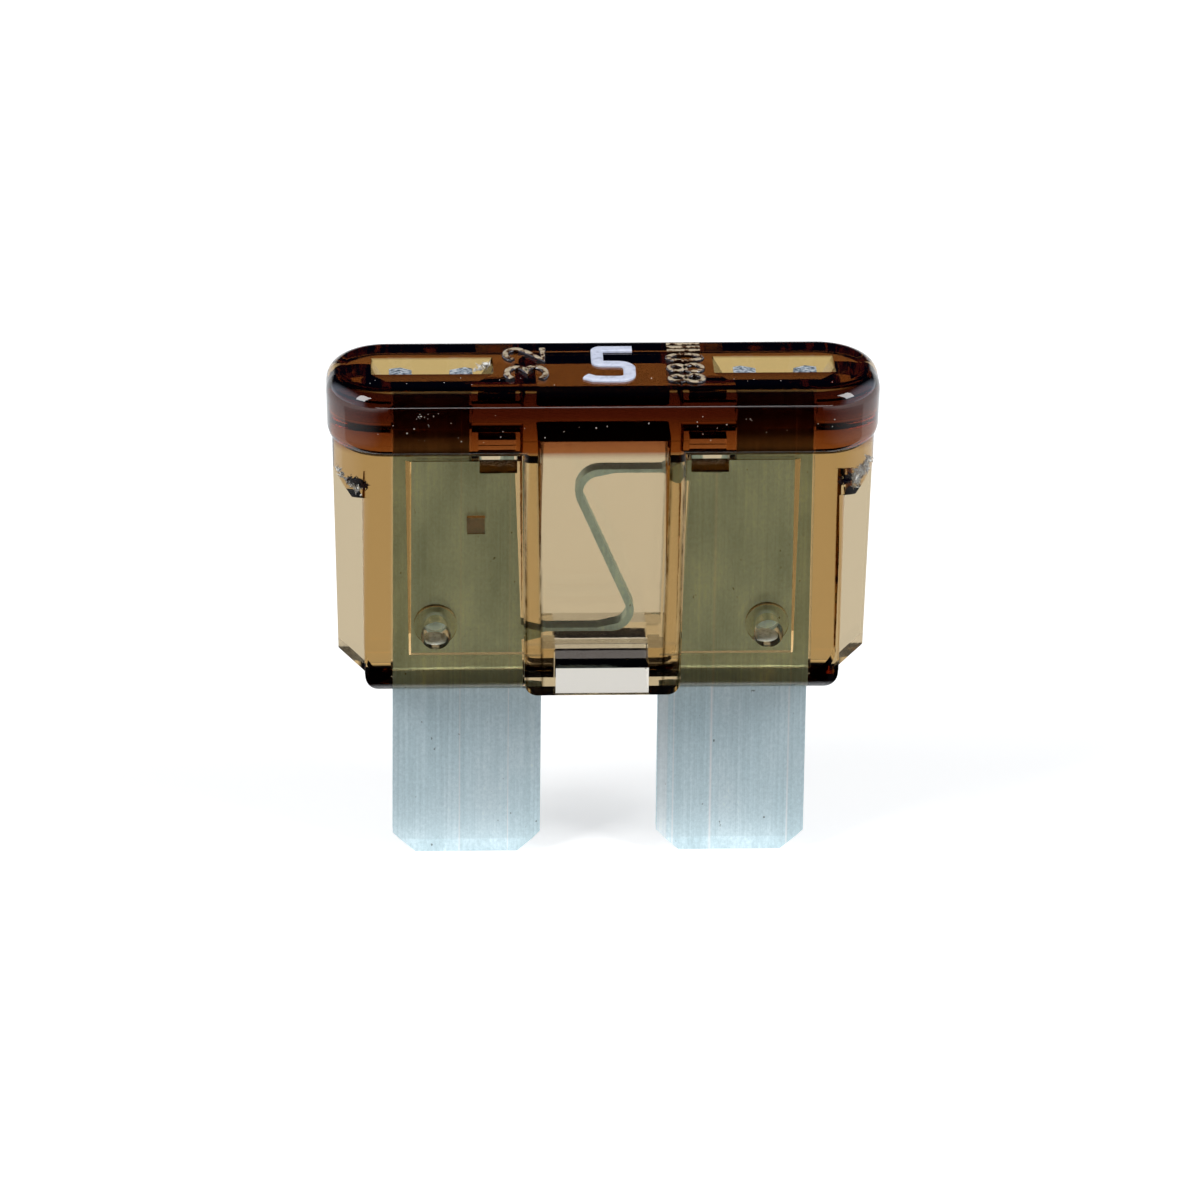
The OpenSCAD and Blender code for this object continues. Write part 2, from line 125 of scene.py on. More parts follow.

# painted highlight on the lower sides of the front staking pits, in mm: name, x, z
PIT_HIGHLIGHTS = [("left", -5.80, 8.72), ("right", 5.70, 8.76)]
PIT_HIGHLIGHT_Y = -1.30
PIT_HIGHLIGHT_RADII = (0.47, 0.56)
PIT_HIGHLIGHT_DISH = 0.05

# residue of the moulding gate in front of the left blade, in mm
GATE_X = -4.39
GATE_Z = 12.93
GATE_SIDE = 0.62
GATE_FRONT = -0.3335
GATE_BACK = -0.3265

# torn places, and dark slivers beside them that are painted shade
# their places in mm: name, plastic, start, end, scatter on each axis, slivers, their length, seed
TEARS_AND_SHADES = [
    ("torn_left", "torn", (-9.20, -1.34, 15.25), (-8.35, -1.96, 14.62), (0.05, 0.02, 0.13), 46, 0.32, 3),
    ("torn_right", "torn", (9.14, -1.32, 15.45), (8.60, -1.80, 14.85), (0.05, 0.02, 0.26), 70, 0.40, 8),
    ("shaded_left", "shaded", (-8.78, -1.72, 15.06), (-8.2, -1.97, 14.86), (0.1, 0.02, 0.14), 70, 0.26, 11),
    ("shaded_right", "shaded", (8.48, -1.86, 15.04), (8.14, -1.97, 14.92), (0.08, 0.02, 0.13), 44, 0.26, 12),
    ("torn_pocket", "torn", (-4.35, -0.10, 18.38), (-3.95, 0.05, 18.50), (0.10, 0.12, 0.05), 14, 0.34, 5),
]

# specks of dust over the head's front, in a cluster on its left and on its top; their lift off it in mm
FRONT_SPECKS = 34
CLUSTER_SPECKS = 14
TOP_SPECKS = 22
SPECK_LIFT = 0.002

# the white ground: where its mirrored part starts at the front and at both sides, and how bright it is
# to the eye, through the plastic behind the fuse and through the plastic in front of it
FLOOR_SIZE = 4.0
FLOOR_SINK = 0.02
FLOOR_GREY = 0.8
FLOOR_FRONT = -0.004
FLOOR_FADE = 0.003
FLOOR_SIDE = 0.016
FLOOR_SIDE_FADE = 0.055
FLOOR_GLOW = 0.5
FLOOR_THROUGH = 0.66
FRONT_THROUGH = 0.44

# the surroundings: white up to this height, then night, with bright sides
HORIZON_WHITE = 0.02
HORIZON_DARK = 0.20
NIGHT = (0.004, 0.005, 0.016)
FRONT_NIGHT = (0.05, 0.05, 0.06)
SIDE_LIGHT = (1.1, 1.2, 1.45)
FILL_COLOUR = (0.9, 0.95, 1.0)
FILL_STRENGTH = 0.35

# name, place, size and power of each lamp
LAMPS = [
    ("key_left", (-0.40, -0.25, 0.45), (0.22, 0.30), 1.9),
    ("key_right", (0.42, -0.22, 0.42), (0.22, 0.30), 1.7),
    ("front_low", (0.0, -0.6, 0.06), (0.5, 0.04), 0.25),
]

# the photograph's viewpoint
CAMERA_AZIMUTH = math.radians(-2.575)
CAMERA_ELEVATION = math.radians(24.26)
CAMERA_ROLL = math.radians(0.669)
CAMERA_DISTANCE = 289.8 * MM
CAMERA_AIM = Vector((-0.01 * MM, 0, 9.6 * MM))
CAMERA_LENS_MM = 249.0
CAMERA_SENSOR_MM = 36.0


class Graph:
    """A short way to write a material's or the world's nodes."""

    def __init__(self, tree):
        self.tree = tree
        self.tree.nodes.clear()

    def node(self, kind, inputs=None, **settings):
        made = self.tree.nodes.new(kind)
        for name, value in settings.items():
            setattr(made, name, value)
        for name, value in (inputs or {}).items():
            target = made.inputs[name]
            if isinstance(value, bpy.types.NodeSocket):
                self.tree.links.new(value, target)
            else:
                target.default_value = value
        return made

    def math(self, operation, a, b=0.0, clamp=False):
        made = self.tree.nodes.new("ShaderNodeMath")
        made.operation = operation
        made.use_clamp = clamp
        for target, value in zip(made.inputs, (a, b)):
            if isinstance(value, bpy.types.NodeSocket):
                self.tree.links.new(value, target)
            else:
                target.default_value = value
        return made.outputs[0]

    def ramp(self, factor, stops, interpolation="LINEAR"):
        made = self.tree.nodes.new("ShaderNodeValToRGB")
        made.color_ramp.interpolation = interpolation
        elements = made.color_ramp.elements
        while len(elements) < len(stops):
            elements.new(1.0)
        for element, (place, colour) in zip(elements, stops):
            element.position = place
            element.color = (*colour, 1.0)
        self.tree.links.new(factor, made.inputs["Fac"])
        return made.outputs["Color"]

    def product(self, first, *others):
        for other in others:
            first = self.math("MULTIPLY", first, other)
        return first

    def away(self, value, place):
        """Distance of a value from a place."""
        return self.math("ABSOLUTE", self.math("SUBTRACT", value, place))

    def rising(self, value, start, run):
        """0 up to the start and 1 after the run; a negative run falls instead."""
        return self.math("DIVIDE", self.math("SUBTRACT", value, start), run, clamp=True)

    def mix(self, factor, first, second, blend="MIX"):
        colours = {"Color1": rgba(first), "Color2": rgba(second)}
        return self.node("ShaderNodeMixRGB", {"Fac": factor, **colours}, blend_type=blend).outputs[0]

    def place(self):
        """The x, y and z of the object's points."""
        coords = self.node("ShaderNodeTexCoord")
        split = self.node("ShaderNodeSeparateXYZ", {"Vector": coords.outputs["Object"]})
        return split.outputs["X"], split.outputs["Y"], split.outputs["Z"]

    def link(self, output, target):
        self.tree.links.new(output, target)


def rgba(colour):
    """A plain colour with full cover; a linked one stays as it is."""
    return (*colour, 1.0) if isinstance(colour, tuple) else colour


def grey(level):
    return (level, level, level)


def material(name):
    made = bpy.data.materials.new(name)
    made.use_nodes = True
    return made, Graph(made.node_tree)


def object_coords(graph, scale):
    coords = graph.node("ShaderNodeTexCoord")
    mapping = graph.node("ShaderNodeMapping", {"Vector": coords.outputs["Object"], "Scale": scale})
    return mapping.outputs["Vector"]


def noise(graph, scale, detail=3.0, roughness=0.55):
    """Noise whose grain is 1 / scale metres along each axis of the object."""
    made = graph.node(
        "ShaderNodeTexNoise",
        {"Vector": object_coords(graph, scale), "Scale": 1.0, "Detail": detail, "Roughness": roughness},
    )
    return made.outputs["Fac"]


def head_tint(graph, x, y, z):
    """Tint of the head's outer wall: painted shade over its front and ends by height, and a tint over its
    upper back.
    """
    height = graph.math("DIVIDE", z, TOP_Z)
    sides = graph.ramp(height, [(level / TOP_MM, colour) for level, colour in HEAD_SIDES_SHADE])
    past_end = graph.math("SUBTRACT", graph.math("ABSOLUTE", x), HEAD_END * MM)
    flat = graph.node("ShaderNodeCombineXYZ", {"X": graph.math("MAXIMUM", past_end, 0.0), "Y": y, "Z": 0.0})
    reach = graph.node("ShaderNodeVectorMath", {0: flat.outputs[0]}, operation="LENGTH").outputs["Value"]
    wall = graph.rising(reach, (HEAD_ROUND - 0.15) * MM, 0.1 * MM)
    in_front = graph.rising(y, 0.1 * MM, -0.2 * MM)
    behind = graph.mix(graph.rising(z, HEAD_BACK_LOW * MM, 0.3 * MM), CLEAR, HEAD_BACK)
    return graph.mix(wall, CLEAR, graph.mix(in_front, behind, sides))


def edge_shade_mask(graph, x, y, z):
    """Uneven lines of painted shade beside the window, along the box's edges, on the front only."""
    edge_shade = 0.0
    for low, growth, width in BOX_EDGE_SHADES:
        edge_shade_x = graph.math("ADD", graph.math("MULTIPLY", z, growth), low * MM)
        away = graph.away(graph.math("ABSOLUTE", x), edge_shade_x)
        edge_shade = graph.math("MAXIMUM", edge_shade, graph.rising(away, width * MM, -width * MM))
    front = graph.math("LESS_THAN", y, EDGE_SHADE_FRONT * MM)
    under = graph.math("LESS_THAN", z, EDGE_SHADE_TOP * MM)
    uneven = graph.math("MULTIPLY", noise(graph, (3000, 3000, 1500), 4.0, 0.6), 1.9)
    return graph.math("MULTIPLY", graph.product(edge_shade, front, under), uneven, clamp=True)


def web_shade_mask(graph, x, y, z):
    """The front wall of the opening in the cross web, where shade is painted."""
    return graph.product(
        graph.math("LESS_THAN", graph.math("ABSOLUTE", x), WEB_HALF * MM),
        graph.math("GREATER_THAN", z, WEB_LOW * MM),
        graph.math("LESS_THAN", z, WEB_HIGH * MM),
        graph.math("LESS_THAN", graph.away(y, -WEB_FRONT * MM), 0.02 * MM),
    )


def clear_plastic():
    """Clear brown plastic: the tint is in the depth, so thick places are darker; shade is painted on the
    head, beside the window and in the cross web's opening.
    """
    made, graph = material("clear_brown_plastic")
    x, y, z = graph.place()
    # painted shade over the head's front and ends
    tint = head_tint(graph, x, y, z)
    # painted shade along the edges beside the window
    tint = graph.mix(edge_shade_mask(graph, x, y, z), tint, EDGE_SHADE_TINT)
    # painted shade on the front wall of the cross web's opening
    tint = graph.mix(web_shade_mask(graph, x, y, z), tint, WEB_SHADE)
    # painted shade over the head's top
    tint = graph.mix(graph.rising(z, TOP_Z - HEAD_TOP_DEPTH * MM, 0.1 * MM), tint, HEAD_TOP)
    waves = noise(graph, (900, 900, 900))
    scuffs = noise(graph, (2600, 2600, 900), 6.0, 0.65)
    bump = graph.node("ShaderNodeBump", {"Height": waves, "Strength": 0.14, "Distance": 0.02 * MM})
    fine = graph.node(
        "ShaderNodeBump",
        {"Height": scuffs, "Strength": 0.12, "Distance": 0.012 * MM, "Normal": bump.outputs["Normal"]},
    )
    shader = graph.node(
        "ShaderNodeBsdfPrincipled",
        {
            "Base Color": tint,
            "Roughness": graph.ramp(scuffs, [(0.52, grey(0.0)), (0.68, grey(0.12))]),
            "IOR": PLASTIC_INDEX,
            "Transmission Weight": 1.0,
            "Normal": fine.outputs["Normal"],
        },
    )
    depth = graph.node("ShaderNodeVolumeAbsorption", {"Color": rgba(DEPTH_COLOUR), "Density": DEPTH_DENSITY})
    graph.node("ShaderNodeOutputMaterial", {"Surface": shader.outputs[0], "Volume": depth.outputs[0]})
    return made


def lines_and_sheen_mask(graph, x, height, streaks):
    """Bright lines along the strip and the pale painted sheen of the bevel at the right blade's inner edge,
    stronger on the bare blades.
    """
    lines = 0.0
    for line_x, width in DRAWN_LINES:
        line = graph.rising(graph.away(x, line_x * MM), width * MM, -width * MM)
        lines = graph.math("MAXIMUM", lines, graph.math("MULTIPLY", line, streaks))
    # painted sheen of the bevel at the right blade's inner edge
    bevel_sheen = graph.rising(graph.away(x, BEVEL_SHEEN_PLACE * MM), BEVEL_SHEEN_HALF * MM, -0.04 * MM)
    lines = graph.math("MAXIMUM", lines, graph.math("MULTIPLY", bevel_sheen, 0.30))
    bare = graph.math("LESS_THAN", height, (BARE_TOP + COVERED_LOW) / 2)
    strength = graph.math("ADD", 0.55, graph.math("MULTIPLY", bare, 0.75))
    return graph.math("MULTIPLY", lines, strength, clamp=True)


def zinc():
    """Rolled zinc with fine striations along the blades, dull patches, small pits and shredded tips; painted
    light and shade by height, and painted glints on the tips.
    """
    made, graph = material("rolled_zinc")
    x, _, z = graph.place()
    height = graph.math("DIVIDE", z, TOP_Z)
    streaks = noise(graph, (9000, 9000, 90), 6.0, 0.6)
    patches = noise(graph, (700, 700, 260), 4.0, 0.6)
    pits = noise(graph, (5200, 5200, 3600), 2.0, 0.5)
    grain = noise(graph, (9000, 9000, 7000), 3.0, 0.7)
    shreds = noise(graph, (5200, 9000, 5200), 4.0, 0.7)
    both = graph.math("ADD", graph.math("MULTIPLY", streaks, 0.32), graph.math("MULTIPLY", patches, 0.36))
    both = graph.math("ADD", both, graph.math("MULTIPLY", grain, 0.32))
    metal = graph.ramp(
        both, [(0.36, (0.30, 0.385, 0.41)), (0.50, (0.385, 0.475, 0.505)), (0.66, (0.52, 0.60, 0.63))]
    )
    pitted = graph.ramp(pits, [(0.21, (0.25, 0.28, 0.28)), (0.26, (1, 1, 1))])
    # painted light and shade by height: lighter on the bare blades, under the body and at the tips, darker
    # under the head
    painted_light_and_shade = graph.ramp(
        height,
        [
            (BARE_TOP, BARE_METAL_LIGHT),
            (COVERED_LOW, COVERED_METAL_LIGHT),
            (0.85, COVERED_METAL_LIGHT),
            (0.90, HEAD_METAL_SHADE),
            (0.96, TIP_METAL_LIGHT),
        ],
    )
    metal = graph.mix(1.0, graph.mix(1.0, metal, pitted, "MULTIPLY"), painted_light_and_shade, "MULTIPLY")
    metal = graph.mix(lines_and_sheen_mask(graph, x, height, streaks), metal, (1.0, 1.0, 1.0))
    # the prongs' shredded tips: the pale shreds are painted glints, the dark ones painted shade
    torn = graph.ramp(
        shreds, [(0.42, (0.10, 0.13, 0.17)), (0.50, (0.55, 0.66, 0.76)), (0.58, (0.95, 0.98, 1.0))]
    )
    metal = graph.mix(graph.rising(height, PRONG_TIPS, 0.01), metal, torn)
    metallic = graph.ramp(
        height, [(BARE_TOP, grey(0.45)), (COVERED_LOW, grey(0.88)), (0.94, grey(0.88)), (0.965, grey(0.4))]
    )
    bump = graph.node("ShaderNodeBump", {"Height": streaks, "Strength": 0.22, "Distance": 0.01 * MM})
    dents = graph.node(
        "ShaderNodeBump",
        {"Height": patches, "Strength": 0.25, "Distance": 0.03 * MM, "Normal": bump.outputs["Normal"]},
    )
    shader = graph.node(
        "ShaderNodeBsdfPrincipled",
        {
            "Base Color": metal,
            "Roughness": graph.ramp(patches, [(0.35, grey(0.52)), (0.65, grey(0.38))]),
            "Metallic": metallic,
            "Normal": dents.outputs["Normal"],
        },
    )
    graph.node("ShaderNodeOutputMaterial", {"Surface": shader.outputs[0]})
    return made


def printed_white():
    """White marking ink, slightly blue, with thin and worn places."""
    made, graph = material("marking_ink")
    wear = noise(graph, (4200, 4200, 4200), 5.0, 0.6)
    colour = graph.ramp(
        wear, [(0.30, (0.50, 0.53, 0.66)), (0.45, (0.70, 0.74, 0.90)), (0.7, (0.80, 0.83, 0.97))]
    )
    bump = graph.node("ShaderNodeBump", {"Height": wear, "Strength": 0.3, "Distance": 0.02 * MM})
    shader = graph.node(
        "ShaderNodeBsdfPrincipled",
        {"Base Color": colour, "Roughness": 0.45, "Normal": bump.outputs["Normal"]},
    )
    graph.node("ShaderNodeOutputMaterial", {"Surface": shader.outputs[0]})
    return made


def relief_plastic():
    """The housing's own plastic in raised marks: glossy, with painted shade at the foot and a painted
    highlight on the crest.
    """
    made, graph = material("raised_plastic")
    wear = noise(graph, (3600, 3600, 3600), 3.0, 0.6)
    _, _, z = graph.place()
    rise = graph.math("DIVIDE", graph.math("SUBTRACT", z, TOP_Z), MARK_HEIGHT * MM)
    uneven = graph.math("ADD", rise, graph.math("MULTIPLY", graph.math("SUBTRACT", wear, 0.5), 1.5))
    # painted shade at the foot of the strokes and a painted highlight on their crest
    colour = graph.ramp(
        uneven, [(0.72, (0.010, 0.003, 0.002)), (0.88, (0.16, 0.07, 0.03)), (1.08, (0.78, 0.64, 0.45))]
    )
    bump = graph.node("ShaderNodeBump", {"Height": wear, "Strength": 0.6, "Distance": 0.04 * MM})
    shader = graph.node(
        "ShaderNodeBsdfPrincipled",
        {
            "Base Color": colour,
            "Roughness": 0.10,
            "IOR": PLASTIC_INDEX,
            "Transmission Weight": 0.25,
            "Normal": bump.outputs["Normal"],
        },
    )
    graph.node("ShaderNodeOutputMaterial", {"Surface": shader.outputs[0]})
    return made


def grained_plastic(name, pale, dark, clear=0.35, index=1.5):
    """Rough, milky, partly clear plastic with grain: torn plastic, dust and gate residue, and the painted
    shade and painted highlights of other pieces.
    """
    made, graph = material(name)
    grain = noise(graph, (3800, 3800, 3800), 5.0, 0.7)
    colour = graph.ramp(grain, [(0.40, dark), (0.56, pale)])
    bump = graph.node("ShaderNodeBump", {"Height": grain, "Strength": 0.7, "Distance": 0.05 * MM})
    shader = graph.node(
        "ShaderNodeBsdfPrincipled",
        {
            "Base Color": colour,
            "Roughness": 0.35,
            "IOR": index,
            "Transmission Weight": clear,
            "Normal": bump.outputs["Normal"],
        },
    )
    graph.node("ShaderNodeOutputMaterial", {"Surface": shader.outputs[0]})
    return made


def dress(obj, made):
    obj.data.materials.clear()
    obj.data.materials.append(made)


def piece(name, vertices, faces, made, smooth=False):
    """A mesh in millimetres that rides on the fuse."""
    mesh = bpy.data.meshes.new(name)
    mesh.from_pydata([(x * MM, y * MM, z * MM) for x, y, z in vertices], [], faces)
    mesh.validate()
    obj = bpy.data.objects.new(name, mesh)
    bpy.context.collection.objects.link(obj)
    for polygon in mesh.polygons:
        polygon.use_smooth = smooth
    dress(obj, made)
    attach(obj, "root")


def arc(centre, radii, start, end, steps):
    """Points of an elliptic arc; the angles are in degrees."""
    turns = [math.radians(start + (end - start) * i / steps) for i in range(steps + 1)]
    return [(centre[0] + radii[0] * math.cos(t), centre[1] + radii[1] * math.sin(t)) for t in turns]


# section of a raised stroke with sloping sides: across and up, as shares of its width and height
STROKE_SECTION = [
    (-0.5, 0.0),
    (-0.5, 0.55),
    (-0.40, 0.88),
    (-0.26, 1.0),
    (0.26, 1.0),
    (0.40, 0.88),
    (0.5, 0.55),
    (0.5, 0.0),
]


def stroke(path, width, height, base):
    """Vertices and faces of one raised stroke along a path on the head's top."""
    count = len(path)
    rows = []
    for i, point in enumerate(path):
        before = Vector(path[max(i - 1, 0)])
        after = Vector(path[min(i + 1, count - 1)])
        here = Vector(point)
        leave = (after - here).normalized() if i < count - 1 else (here - before).normalized()
        come = (here - before).normalized() if i > 0 else leave
        side = Vector((-(leave + come).y, (leave + come).x)).normalized()
        spread = min(1.0 / max(side.dot(Vector((-leave.y, leave.x))), 0.4), 1.6)
        rows.append((here, side * spread))
    vertices = []
    for here, side in rows:
        for across, up in STROKE_SECTION:
            spot = here + side * across * width
            vertices.append((spot.x, spot.y, base + up * height))
    corners = len(STROKE_SECTION)
    faces = []
    for i in range(count - 1):
        for j in range(corners):
            a = i * corners + j
            b = i * corners + (j + 1) % corners
            faces.append((a, a + corners, b + corners, b))
    faces.append(tuple(range(corners)))
    faces.append(tuple(reversed(range((count - 1) * corners, count * corners))))
    return vertices, faces


def marks(name, paths, width, height, made):
    """One piece made of several raised strokes on the head's top."""
    vertices, faces = [], []
    for path in paths:
        more, more_faces = stroke(path, width, height, TOP_MM)
        start = len(vertices)
        vertices += more
        faces += [tuple(start + i for i in face) for face in more_faces]
    piece(name, vertices, faces, made)


def placed(path, centre, size, turn):
    """A path in a unit box, put on the head's top at a centre, turned by an angle in degrees."""
    c, s = math.cos(math.radians(turn)), math.sin(math.radians(turn))
    out = []
    for u, v in path:
        x, y = (u - 0.5) * size[0], (v - 0.5) * size[1]
        out.append((centre[0] + c * x - s * y, centre[1] + s * x + c * y))
    return out


# plain figures in a unit box
THREE = [arc((0.45, 0.74), (0.45, 0.26), 150, -90, 10) + arc((0.45, 0.26), (0.5, 0.26), 90, -150, 10)[1:]]
TWO = [arc((0.5, 0.72), (0.42, 0.28), 160, -20, 9) + [(0.70, 0.45), (0.08, 0.04), (0.95, 0.04)]]
NOUGHT = [arc((0.5, 0.5), (0.42, 0.5), 90, 450, 18)]
EIGHT = [arc((0.5, 0.76), (0.36, 0.24), 90, 450, 14), arc((0.5, 0.27), (0.44, 0.27), 90, 450, 14)]
BARS = [[(0.06, 0.0), (0.06, 1.0)], [(0.5, 0.0), (0.5, 1.0)], [(0.94, 0.0), (0.94, 1.0)]]
# the figures of the left and right marks with their y, the right ones with their width too, in mm
LEFT_FIGURES = [(TWO, 0.75), (THREE, -0.85)]
RIGHT_FIGURES = [(BARS, 1.32, 0.66), (NOUGHT, 0.40, 0.68), (EIGHT, -0.52, 0.70), (EIGHT, -1.45, 0.70)]


def rating_figure():
    """The large raised figure in the middle of the head's top, printed white."""
    path = (
        [(1.04, 1.27), (0.10, 1.27)]
        + arc((-0.05, 1.14), (0.13, 0.13), 90, 180, 4)
        + [(-0.19, 0.40)]
        + arc((-0.03, 0.13), (0.16, 0.16), 180, 270, 4)
        + [(0.10, -0.03), (0.55, -0.05)]
        + arc((0.52, -0.42), (0.37, 0.37), 80, 0, 5)
        + [(0.88, -0.95)]
        + arc((0.52, -1.02), (0.35, 0.36), 0, -90, 5)
        + [(0.05, -1.38), (-0.35, -1.34), (-0.62, -1.14)]
    )
    marks("rating_figure", [path], RATING_STROKE, RATING_HEIGHT, printed_white())


def raised_marks():
    """Small raised marks on both sides of the rating: plain figures and bars."""
    made = relief_plastic()
    left = []
    for figure, y in LEFT_FIGURES:
        left += [placed(line, (LEFT_MARKS_X, y), LEFT_MARK_SIZE, 90) for line in figure]
    right = []
    for figure, y, width in RIGHT_FIGURES:
        right += [placed(line, (RIGHT_MARKS_X, y), (width, RIGHT_MARK_LENGTH), 90) for line in figure]
    marks("left_marks", left, LEFT_STROKE, MARK_HEIGHT, made)
    marks("right_marks", right, RIGHT_STROKE, MARK_HEIGHT, made)


# corners of a sliver of torn plastic: along, across and out of it, as shares of its length and thickness
SLIVER = [(-0.5, 0.0, 0.0), (0.0, 1.0, 0.0), (0.0, -1.0, 0.3), (0.0, 0.1, 1.0), (0.5, 0.1, 0.1)]


def ragged(name, made, start, end, scatter, count, size, seed):
    """Slivers of plastic scattered along a line between two points; torn pale ones, and dark ones that are
    painted shade.
    """
    rng = random.Random(seed)
    start, end = Vector(start), Vector(end)
    vertices, faces = [], []
    for _ in range(count):
        share = rng.random()
        centre = start.lerp(end, share) + Vector(rng.uniform(-reach, reach) for reach in scatter)
        length = size * rng.uniform(0.5, 1.3)
        lean = Vector((rng.uniform(-1, 1), rng.uniform(-0.4, 0.1), rng.uniform(-0.8, 1))).normalized()
        across = lean.cross(Vector((rng.uniform(-1, 1), 1, rng.uniform(-1, 1)))).normalized()
        out = lean.cross(across).normalized()
        thick = length * rng.uniform(0.10, 0.22)
        base = len(vertices)
        for along, wide, deep in SLIVER:
            corner = centre + lean * length * along + across * thick * wide + out * thick * deep
            vertices.append(tuple(corner))
        a, b, c, d, e = range(base, base + len(SLIVER))
        faces += [(a, b, c), (a, c, d), (a, d, b), (e, c, b), (e, d, c), (e, b, d)]
    piece(name, vertices, faces, made)


def painted_pit_highlights():
    """Painted highlight, a reflection of bright surroundings, on the lower side of each front staking pit, a
    shallow dished patch.
    """
    made = grained_plastic("painted_highlight_plastic", (0.88, 0.90, 0.78), (0.52, 0.55, 0.44), clear=0.0)
    rings = 4
    points = 28
    for name, x, z in PIT_HIGHLIGHTS:
        vertices = [(x, PIT_HIGHLIGHT_Y, z)]
        for ring in range(1, rings + 1):
            share = ring / rings
            wide, deep = PIT_HIGHLIGHT_RADII[0] * share, PIT_HIGHLIGHT_RADII[1] * share
            for k in range(points):
                turn = 2 * math.pi * k / points
                lift = PIT_HIGHLIGHT_DISH * share * share
                vertices.append((x + wide * math.cos(turn), PIT_HIGHLIGHT_Y + deep * math.sin(turn), z + lift))
        faces = [(0, 1 + k, 1 + (k + 1) % points) for k in range(points)]
        for ring in range(1, rings):
            low, high = 1 + (ring - 1) * points, 1 + ring * points
            for k in range(points):
                n = (k + 1) % points
                faces.append((low + k, high + k, high + n, low + n))
        piece("stake_pit_highlight_" + name, vertices, faces, made, smooth=True)


def gate_stain():
    """Reddish residue of the moulding gate, close in front of the left blade."""
    made = grained_plastic("gate_residue", (0.46, 0.47, 0.56), (0.36, 0.43, 0.54), clear=0.0)
    half = GATE_SIDE / 2
    corners = [
        (x, y, z)
        for x in (GATE_X - half, GATE_X + half)
        for y in (GATE_FRONT, GATE_BACK)
        for z in (GATE_Z - half, GATE_Z + half)
    ]
    faces = [(0, 1, 3, 2), (4, 6, 7, 5), (0, 4, 5, 1), (2, 3, 7, 6), (0, 2, 6, 4), (1, 5, 7, 3)]
    piece("gate_stain", corners, faces, made)


def tears_and_shade():
    """Torn edges at the tops of the recesses and in the left test pocket, and dark slivers of painted shade
    beside the recesses' torn edges.
    """
    plastics = {
        "torn": grained_plastic("torn_plastic", (1.0, 1.0, 0.95), (0.50, 0.40, 0.26), clear=0.15),
        # dark slivers that are painted shade, beside the torn edges
        "shaded": grained_plastic(
            "shaded_plastic", (0.020, 0.010, 0.008), (0.001, 0.001, 0.006), clear=0.0, index=1.1
        ),
    }
    for name, plastic, *sliver_set in TEARS_AND_SHADES:
        ragged(name, plastics[plastic], *sliver_set)


def dust():
    """Specks of dust on the head's front face and top."""
    rng = random.Random(21)
    made = grained_plastic("dust", (0.95, 0.94, 0.90), (0.60, 0.58, 0.52), clear=0.0)
    vertices, faces = [], []
    places = ["front"] * FRONT_SPECKS + ["cluster"] * CLUSTER_SPECKS + ["top"] * TOP_SPECKS
    for place in places:
        if place == "front":
            spot = Vector((rng.uniform(-7.9, 7.9), FRONT_MM - SPECK_LIFT, rng.uniform(16.7, 17.75)))
        elif place == "cluster":
            spot = Vector((rng.gauss(-6.15, 0.25), FRONT_MM - SPECK_LIFT, rng.uniform(17.2, 17.8)))
        else:
            spot = Vector((rng.uniform(-8.2, 8.2), rng.uniform(-1.8, -1.0), TOP_MM + SPECK_LIFT))
        size = rng.uniform(0.010, 0.022)
        base = len(vertices)
        for axis in range(3):
            for sign in (-1, 1):
                offset = Vector((0, 0, 0))
                offset[axis] = sign * size * rng.uniform(0.6, 1.4)
                vertices.append(tuple(spot + offset))
        for a in (0, 1):
            for b in (2, 3):
                for c in (4, 5):
                    faces.append((base + a, base + b, base + c))
    piece("dust", vertices, faces, made)


def ground():
    """Pale ground that keeps the shadow; it is mirrored only behind and far beside the fuse, and is dimmer
    where it is seen through the plastic.
    """
    bpy.ops.mesh.primitive_plane_add(size=FLOOR_SIZE, location=(0, 0, -FLOOR_SINK * MM))
    floor = bpy.context.object
    floor.name = "floor"
    made, graph = material("pale_ground")
    ray = graph.node("ShaderNodeLightPath").outputs
    x, y, _ = graph.place()
    behind = graph.rising(y, FLOOR_FRONT, FLOOR_FADE)
    beside = graph.rising(graph.math("ABSOLUTE", x), FLOOR_SIDE, FLOOR_SIDE_FADE)
    sharp = graph.math("MAXIMUM", ray["Is Transmission Ray"], ray["Is Glossy Ray"])
    mirrored = graph.math("SUBTRACT", ray["Is Glossy Ray"], ray["Is Transmission Ray"], clamp=True)
    through = graph.math("MAXIMUM", graph.math("MULTIPLY", behind, FLOOR_THROUGH), FRONT_THROUGH)
    level = graph.math(
        "ADD",
        graph.math("MULTIPLY", ray["Is Transmission Ray"], through),
        graph.math("MULTIPLY", mirrored, graph.math("MAXIMUM", behind, beside)),
    )
    unseen = graph.math("MULTIPLY", sharp, graph.math("SUBTRACT", 1.0, level))
    shade = graph.math("MULTIPLY", graph.math("SUBTRACT", 1.0, unseen), FLOOR_GREY)
    shade = graph.node("ShaderNodeCombineColor", {"Red": shade, "Green": shade, "Blue": shade}).outputs[0]
    diffuse = graph.node("ShaderNodeBsdfDiffuse", {"Color": shade})
    seen = graph.math("MAXIMUM", ray["Is Camera Ray"], level)
    glow = graph.node("ShaderNodeEmission", {"Strength": graph.math("MULTIPLY", seen, FLOOR_GLOW)})
    both = graph.node("ShaderNodeAddShader")
    graph.link(diffuse.outputs[0], both.inputs[0])
    graph.link(glow.outputs[0], both.inputs[1])
    graph.node("ShaderNodeOutputMaterial", {"Surface": both.outputs[0]})
    dress(floor, made)


def mixed(graph, factor, first, second):
    """One of two shaders, or some of both."""
    made = graph.node("ShaderNodeMixShader", {"Fac": factor})
    graph.link(first, made.inputs[1])
    graph.link(second, made.inputs[2])
    return made.outputs[0]


